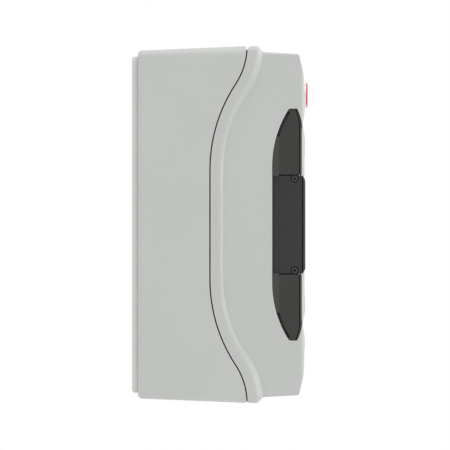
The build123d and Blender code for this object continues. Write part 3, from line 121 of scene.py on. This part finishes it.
class Paint:
    """A procedural material under construction, with one short method for each thing its nodes do."""

    def __init__(self, name, **shader_values):
        self.material = bpy.data.materials.new(name)
        self.material.use_nodes = True
        self.tree = self.material.node_tree
        self.shader = self.tree.nodes["Principled BSDF"]
        for socket, value in shader_values.items():
            self.shader.inputs[socket.replace("_", " ")].default_value = value
        self.place = self.add("ShaderNodeTexCoord").outputs["Object"]
        self.normal = None

    def add(self, kind, inputs=None, **settings):
        node = self.tree.nodes.new(kind)
        for name, value in settings.items():
            setattr(node, name, value)
        for name, value in (inputs or {}).items():
            self.feed(node.inputs[name], value)
        return node

    def feed(self, socket, value):
        if isinstance(value, bpy.types.NodeSocket):
            self.tree.links.new(value, socket)
        else:
            socket.default_value = value

    def noise(self, size, detail=3.0, stretch=(1, 1, 1)):
        """Soft noise with features about size metres across, drawn out where stretch is over 1."""
        place = self.add(
            "ShaderNodeMapping", {"Vector": self.place, "Scale": [1 / s for s in stretch]}
        ).outputs["Vector"]
        return self.add(
            "ShaderNodeTexNoise", {"Vector": place, "Scale": 1 / size, "Detail": detail}
        ).outputs["Fac"]

    def along(self, axis):
        """Distance from the origin along X, Y or Z."""
        return self.add("ShaderNodeSeparateXYZ", {"Vector": self.place}).outputs[axis]

    def cells(self, size):
        """Rounded grains about size metres across, 0 in their middle."""
        return self.add(
            "ShaderNodeTexVoronoi", {"Vector": self.place, "Scale": 1 / size}, feature="SMOOTH_F1"
        ).outputs["Distance"]

    def ramp(self, value, start, end, low=0.0, high=1.0):
        """Value from start..end carried to low..high."""
        return self.add(
            "ShaderNodeMapRange",
            {"Value": value, "From Min": start, "From Max": end, "To Min": low, "To Max": high},
        ).outputs["Result"]

    def blend(self, share, first, second):
        """Colour that goes from first to second with share."""
        node = self.add("ShaderNodeMix", data_type="RGBA")
        self.feed(node.inputs[0], share)
        self.feed(node.inputs[6], first)
        self.feed(node.inputs[7], second)
        return node.outputs[2]

    def mixed(self, share, first, second):
        """Number that goes from first to second with share."""
        return self.add("ShaderNodeMix", {0: share, 2: first, 3: second}).outputs[0]

    def times(self, first, second):
        return self.add("ShaderNodeMath", {0: first, 1: second}, operation="MULTIPLY").outputs[0]

    def edges(self, width):
        """1 along outer edges narrower than width, 0 on flat faces."""
        rounded = self.add("ShaderNodeBevel", {"Radius": width}, samples=LOOKUP_SAMPLES)
        flat = self.add("ShaderNodeNewGeometry")
        normals = {0: rounded.outputs["Normal"], 1: flat.outputs["Normal"]}
        agreement = self.add("ShaderNodeVectorMath", normals, operation="DOT_PRODUCT")
        return self.ramp(agreement.outputs["Value"], FLAT_AGREEMENT, EDGE_AGREEMENT)

    def crevices(self, reach, start=0.9, end=0.25):
        """1 deep in corners and gaps, 0 where more than the start share of the surroundings is open."""
        lookup = self.add("ShaderNodeAmbientOcclusion", {"Distance": reach}, samples=LOOKUP_SAMPLES)
        return self.ramp(lookup.outputs["AO"], start, end)

    def bump(self, height, depth):
        """Adds a relief of up to depth metres to what is already there."""
        inputs = {"Height": height, "Distance": depth, "Strength": 1.0}
        if self.normal:
            inputs["Normal"] = self.normal
        self.normal = self.add("ShaderNodeBump", inputs).outputs["Normal"]

    def finish(self, colour, roughness):
        """Joins colour, roughness and relief to the shader and gives the material."""
        self.feed(self.shader.inputs["Base Color"], colour)
        self.feed(self.shader.inputs["Roughness"], roughness)
        if self.normal:
            self.feed(self.shader.inputs["Normal"], self.normal)
        return self.material


def grey(level, warmth=0.0):
    """Linear grey with a little red added and blue taken away by warmth."""
    return (level * (1 + warmth), level, level * (1 - warmth), 1.0)


def shade(colour, factor):
    """Colour made darker or lighter by factor."""
    return tuple(c * factor for c in colour[:3]) + (1.0,)


def moulded(name, colour, rough, grain, relief, wear, worn, gloss=0.5):
    """Injection moulded plastic: fine grain, rubbed edges, painted shade in the corners, and painted
    shadow in the gaps.
    """
    paint = Paint(name, IOR=PLASTIC_IOR, Specular_IOR_Level=gloss)
    patches = paint.ramp(paint.noise(60 * MM, 2.0), 0.3, 0.7)
    specks = paint.ramp(paint.noise(0.9 * MM, 4.0), 0.35, 0.65)
    body = paint.blend(patches, shade(colour, 0.985), shade(colour, 1.012))
    body = paint.blend(paint.times(specks, 0.5), body, shade(colour, 0.975))
    body = paint.blend(paint.times(paint.edges(0.9 * MM), wear), body, worn)
    # Painted shade: colour darkened to 0.45 of itself where the occlusion lookup finds corners.
    body = paint.blend(paint.times(paint.crevices(2.5 * MM), 0.35), body, shade(colour, 0.45))
    # Painted shadow: colour darkened to near black in narrow gaps such as the cover seam; the same mask
    # makes these gaps rough.
    painted_gap_shade = paint.crevices(2.0 * MM, 0.45, 0.15)
    body = paint.blend(painted_gap_shade, body, shade(colour, 0.12))
    wipes = paint.ramp(paint.noise(9 * MM, 4.0, (1, 1, 5)), 0.3, 0.7, rough - 0.05, rough + 0.05)
    wipes = paint.mixed(painted_gap_shade, wipes, GAP_ROUGHNESS)
    paint.bump(paint.cells(grain), relief)
    paint.bump(paint.noise(22 * MM, 1.0), 0.05 * MM)
    return paint.finish(body, wipes)


def housing_plastic():
    return moulded(
        "housing_plastic",
        colour=(0.447, 0.458, 0.442, 1),
        rough=0.44,
        grain=0.45 * MM,
        relief=0.012 * MM,
        wear=0.3,
        worn=grey(0.62),
    )


def cover_plastic():
    return moulded(
        "cover_plastic",
        colour=(0.436, 0.448, 0.432, 1),
        rough=0.42,
        grain=0.45 * MM,
        relief=0.012 * MM,
        wear=0.35,
        worn=grey(0.62),
    )


def plate_plastic():
    return moulded(
        "plate_plastic",
        colour=(0.524, 0.535, 0.515, 1),
        rough=0.55,
        grain=0.7 * MM,
        relief=0.02 * MM,
        wear=0.25,
        worn=grey(0.55),
    )


def bar_plastic():
    return moulded(
        "bar_plastic",
        colour=(0.0185, 0.0185, 0.0188, 1),
        rough=0.5,
        grain=0.5 * MM,
        relief=0.02 * MM,
        wear=0.45,
        worn=grey(0.07),
        gloss=0.36,
    )


def trim_plastic():
    return moulded(
        "trim_plastic",
        colour=(0.03, 0.03, 0.031, 1),
        rough=0.56,
        grain=0.6 * MM,
        relief=0.02 * MM,
        wear=0.3,
        worn=grey(0.08),
        gloss=0.36,
    )


def pump_plastic():
    return moulded(
        "pump_plastic",
        colour=(0.74, 0.75, 0.74, 1),
        rough=0.35,
        grain=0.6 * MM,
        relief=0.008 * MM,
        wear=0.2,
        worn=grey(0.82),
    )


def roller_plastic():
    return moulded(
        "roller_plastic",
        colour=(0.66, 0.62, 0.52, 1),
        rough=0.4,
        grain=0.8 * MM,
        relief=0.01 * MM,
        wear=0.3,
        worn=grey(0.72, 0.03),
    )


def smoked_plastic():
    """Polished smoked window: warm tint, a lighter rear border, and hairline scratches in the gloss."""
    paint = Paint("smoked_plastic", IOR=PLASTIC_IOR, Specular_IOR_Level=0.42)
    depth = paint.ramp(paint.noise(35 * MM, 2.0), 0.3, 0.7)
    body = paint.blend(depth, (0.0195, 0.019, 0.017, 1), (0.0245, 0.0237, 0.0215, 1))
    border = paint.ramp(paint.along("Y"), BORDER_Y - BORDER_FADE, BORDER_Y + BORDER_FADE)
    body = paint.blend(border, body, BORDER_TINT)
    body = paint.blend(paint.times(paint.edges(0.7 * MM), 0.5), body, (0.08, 0.08, 0.075, 1))
    # Painted shadow: near black in the grooves and gaps round the windows; the same mask makes them
    # rough.
    painted_gap_shade = paint.crevices(3.0 * MM, 0.7, 0.4)
    body = paint.blend(painted_gap_shade, body, grey(0.002))
    hairlines = paint.ramp(paint.noise(0.6 * MM, 5.0, (1, 1, 14)), 0.55, 0.75, 0.13, 0.24)
    hairlines = paint.mixed(painted_gap_shade, hairlines, GAP_ROUGHNESS)
    paint.bump(paint.noise(14 * MM, 1.0), 0.03 * MM)
    return paint.finish(body, hairlines)


def seal_rubber():
    """Dull black rubber with bloom in its hollows; where it sits behind the cover seam its near-black
    also serves as painted shadow inside the seam.
    """
    paint = Paint("seal_rubber", IOR=1.45)
    bloom = paint.ramp(paint.noise(3 * MM, 4.0), 0.4, 0.7)
    body = paint.blend(bloom, grey(0.010), grey(0.018))
    paint.bump(paint.noise(0.5 * MM, 3.0), 0.03 * MM)
    return paint.finish(body, paint.ramp(bloom, 0, 1, 0.7, 0.85))


def metal(name, colour, rough, streak, stretch, depth):
    """Bright metal with drawing or turning marks, dull spots and bright edges."""
    paint = Paint(name, Metallic=1.0)
    marks = paint.noise(streak, 4.0, stretch)
    spots = paint.ramp(paint.noise(2.2 * MM, 5.0), 0.45, 0.75)
    body = paint.blend(paint.ramp(marks, 0.3, 0.7), shade(colour, 0.85), colour)
    body = paint.blend(paint.times(spots, 0.3), body, shade(colour, 0.6))
    body = paint.blend(paint.times(paint.edges(0.3 * MM), 0.4), body, grey(0.85))
    paint.bump(marks, depth)
    return paint.finish(body, paint.ramp(marks, 0.3, 0.7, rough - 0.08, rough + 0.08))


def steel():
    return metal(
        "steel",
        colour=(0.56, 0.57, 0.58, 1),
        rough=0.32,
        streak=0.25 * MM,
        stretch=(1, 8, 1),
        depth=0.006 * MM,
    )


def spring_steel():
    return metal(
        "spring_steel",
        colour=(0.5, 0.49, 0.47, 1),
        rough=0.28,
        streak=0.15 * MM,
        stretch=(3, 3, 1),
        depth=0.004 * MM,
    )


def zinc():
    return metal(
        "zinc",
        colour=(0.66, 0.66, 0.67, 1),
        rough=0.24,
        streak=0.4 * MM,
        stretch=(1, 1, 6),
        depth=0.004 * MM,
    )


def bottle_plastic():
    """Milky blow moulded polyethylene, with uneven walls."""
    paint = Paint(
        "bottle_plastic",
        IOR=1.52,
        Transmission_Weight=0.55,
        Subsurface_Weight=0.25,
        Subsurface_Scale=4 * MM,
    )
    walls = paint.ramp(paint.noise(25 * MM, 3.0, (1, 1, 2)), 0.3, 0.7)
    body = paint.blend(walls, (0.78, 0.80, 0.79, 1), (0.88, 0.89, 0.88, 1))
    body = paint.blend(paint.times(paint.edges(1.5 * MM), 0.3), body, grey(0.93))
    paint.bump(paint.noise(9 * MM, 2.0), 0.12 * MM)
    return paint.finish(body, paint.ramp(walls, 0, 1, 0.34, 0.42))


def soap():
    """Clear pink liquid soap with faint pearl streaks."""
    paint = Paint("soap", IOR=1.37, Transmission_Weight=0.6)
    pearl = paint.ramp(paint.noise(12 * MM, 5.0, (1, 1, 3)), 0.4, 0.7)
    body = paint.blend(pearl, (0.80, 0.34, 0.42, 1), (0.88, 0.52, 0.58, 1))
    paint.bump(paint.noise(30 * MM, 1.0), 0.05 * MM)
    return paint.finish(body, paint.ramp(pearl, 0, 1, 0.05, 0.12))


def lacquer(name, deep, bright):
    """Glossy lacquer with a faint orange-peel surface."""
    paint = Paint(name, IOR=1.5, Coat_Weight=0.6, Coat_Roughness=0.05)
    depth = paint.ramp(paint.noise(5 * MM, 2.0), 0.3, 0.7)
    body = paint.blend(depth, deep, bright)
    body = paint.blend(paint.times(paint.edges(0.4 * MM), 0.35), body, shade(bright, 1.15))
    paint.bump(paint.cells(0.8 * MM), 0.006 * MM)
    return paint.finish(body, paint.ramp(depth, 0, 1, 0.16, 0.24))


def badge_red():
    return lacquer("badge_red", deep=(0.50, 0.035, 0.045, 1), bright=(0.62, 0.05, 0.06, 1))


# Painted highlight: the pale pink inlay on the red drop badge stands in for the glossy highlight on the
# drop.
def badge_white():
    return lacquer("badge_white", deep=(0.78, 0.68, 0.68, 1), bright=(0.84, 0.76, 0.76, 1))


def stage_white():
    """Pale studio floor with a barely visible paper grain."""
    paint = Paint("stage_white")
    paper = paint.ramp(paint.noise(3 * MM, 3.0), 0.3, 0.7)
    paint.bump(paper, 0.05 * MM)
    return paint.finish(paint.blend(paper, grey(0.86), grey(0.89)), FLOOR_ROUGHNESS)


MAKERS = [
    housing_plastic,
    cover_plastic,
    plate_plastic,
    bar_plastic,
    trim_plastic,
    pump_plastic,
    roller_plastic,
    smoked_plastic,
    seal_rubber,
    steel,
    spring_steel,
    zinc,
    bottle_plastic,
    soap,
    badge_red,
    badge_white,
]


def paint_nodes(materials):
    """Every CAD node takes the material of its slot in the record."""
    for part in frame["record"]["subparts"]:
        mesh = nodes[part["node"]].data
        mesh.materials.clear()
        mesh.materials.append(materials[part["material_slot"]])


# ---------------------------------------------------------------- springs


def tube(name, points, radius, material, sides):
    """Round wire along a list of points, with flat ends."""
    verts, faces = [], []
    side = (points[1] - points[0]).orthogonal().normalized()
    for i, point in enumerate(points):
        ahead = points[min(i + 1, len(points) - 1)] - points[max(i - 1, 0)]
        side = (side - ahead * side.dot(ahead) / ahead.length_squared).normalized()
        across = ahead.cross(side).normalized()
        for k in range(sides):
            turn = tau * k / sides
            verts.append(point + radius * (cos(turn) * side + sin(turn) * across))
    for i in range(len(points) - 1):
        for k in range(sides):
            a, b = i * sides + k, i * sides + (k + 1) % sides
            faces.append((a, b, b + sides, a + sides))
    faces.append(tuple(reversed(range(sides))))
    faces.append(tuple(range(len(verts) - sides, len(verts))))
    mesh = bpy.data.meshes.new(name)
    mesh.from_pydata(verts, [], faces)
    for face in mesh.polygons:
        face.use_smooth = len(face.vertices) == 4
    mesh.materials.append(material)
    piece = bpy.data.objects.new(name, mesh)
    bpy.context.scene.collection.objects.link(piece)
    return piece


def spring_line(start, end, coil, wire, turns):
    """Centre line of a compression spring with a closed coil at each end. Wire is its radius."""
    axis = (end - start).normalized()
    side = axis.orthogonal().normalized()
    across = axis.cross(side)
    length = (end - start).length - 2 * wire
    closed = 2 * wire
    steps = turns * STEPS_PER_TURN
    points = []
    for i in range(steps + 1):
        turn = i / steps * turns
        if turn < 1:
            rise = closed * turn
        elif turn > turns - 1:
            rise = length - closed * (turns - turn)
        else:
            rise = closed + (length - 2 * closed) * (turn - 1) / (turns - 2)
        angle = tau * turn
        points.append(start + axis * (rise + wire) + coil * (cos(angle) * side + sin(angle) * across))
    return points


def return_springs(materials):
    """Four springs round the guide posts, which the push bar would shorten; here they are built at one
    length and carried by the cover.
    """
    low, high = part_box("return_springs")
    reach = RETURN_COIL + RETURN_WIRE
    for x in (low.x + reach, high.x - reach):
        for z in (low.z + reach, high.z - reach):
            start, end = Vector((x, high.y, z)), Vector((x, low.y, z))
            line = spring_line(start, end, RETURN_COIL, RETURN_WIRE, RETURN_TURNS)
            name = f"return_spring_{'left' if x < 0 else 'right'}_{'lower' if z < 0 else 'upper'}"
            spring = tube(name, line, RETURN_WIRE, materials["spring_steel"], RETURN_SIDES)
            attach(spring, "cover")
            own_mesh(spring)
            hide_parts("return_springs")


def pump_spring(materials):
    """Spring between the bottle's cap and the pump's collar."""
    low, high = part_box("pump_spring")
    x, y = (low.x + high.x) / 2, (low.y + high.y) / 2
    start, end = Vector((x, y, low.z)), Vector((x, y, high.z))
    line = spring_line(start, end, PUMP_COIL, PUMP_WIRE, PUMP_TURNS)
    spring = tube("pump_return_spring", line, PUMP_WIRE, materials["spring_steel"], PUMP_SIDES)
    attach(spring, "housing")
    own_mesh(spring)
    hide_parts("pump_spring")


# ---------------------------------------------------------------- studio


def floor():
    """Pale floor well below the dispenser, which hangs on its wall."""
    z = cad_low.z - FLOOR_DROP
    h = FLOOR_HALF
    mesh = bpy.data.meshes.new("floor")
    mesh.from_pydata([(-h, -h, z), (h, -h, z), (h, h, z), (-h, h, z)], [], [(0, 1, 2, 3)])
    mesh.materials.append(stage_white())
    piece = bpy.data.objects.new("floor", mesh)
    bpy.context.scene.collection.objects.link(piece)


def soft_light(name, strength, rotation):
    """Very soft, even light from one side. With no rotation it shines straight down."""
    light = bpy.data.lights.new(name, "SUN")
    light.energy = strength
    light.angle = LIGHT_SPREAD
    lamp = bpy.data.objects.new(name, light)
    lamp.rotation_euler = rotation
    bpy.context.scene.collection.objects.link(lamp)


def studio():
    """Even white surround with one light from above and one from the front."""
    world = bpy.data.worlds.new("studio")
    world.use_nodes = True
    background = world.node_tree.nodes["Background"]
    background.inputs["Color"].default_value = (1, 1, 1, 1)
    background.inputs["Strength"].default_value = WORLD_LIGHT
    bpy.context.scene.world = world
    soft_light("top_light", TOP_LIGHT, LIGHT_FROM_TOP)
    soft_light("front_light", FRONT_LIGHT, LIGHT_FROM_FRONT)
    bpy.context.scene.view_settings.view_transform = "Standard"


def camera():
    """Looks along +X at the left side, so that the wall is on the left and the front on the right."""
    lens = bpy.data.cameras.new("camera")
    lens.lens = LENS
    lens.sensor_width = SENSOR
    distance = FRAME_WIDTH * LENS / SENSOR
    lens.clip_start = NEAR_LIMIT
    lens.clip_end = FAR_LIMIT
    eye = bpy.data.objects.new("camera", lens)
    eye.location = (SIDE_PLANE_X - distance, FRAME_CENTRE_Y, FRAME_CENTRE_Z)
    eye.rotation_euler = (pi / 2, 0, -pi / 2)
    bpy.context.scene.collection.objects.link(eye)
    bpy.context.scene.camera = eye


camera()
studio()
floor()
materials = {maker.__name__: maker() for maker in MAKERS}
paint_nodes(materials)
return_springs(materials)
pump_spring(materials)
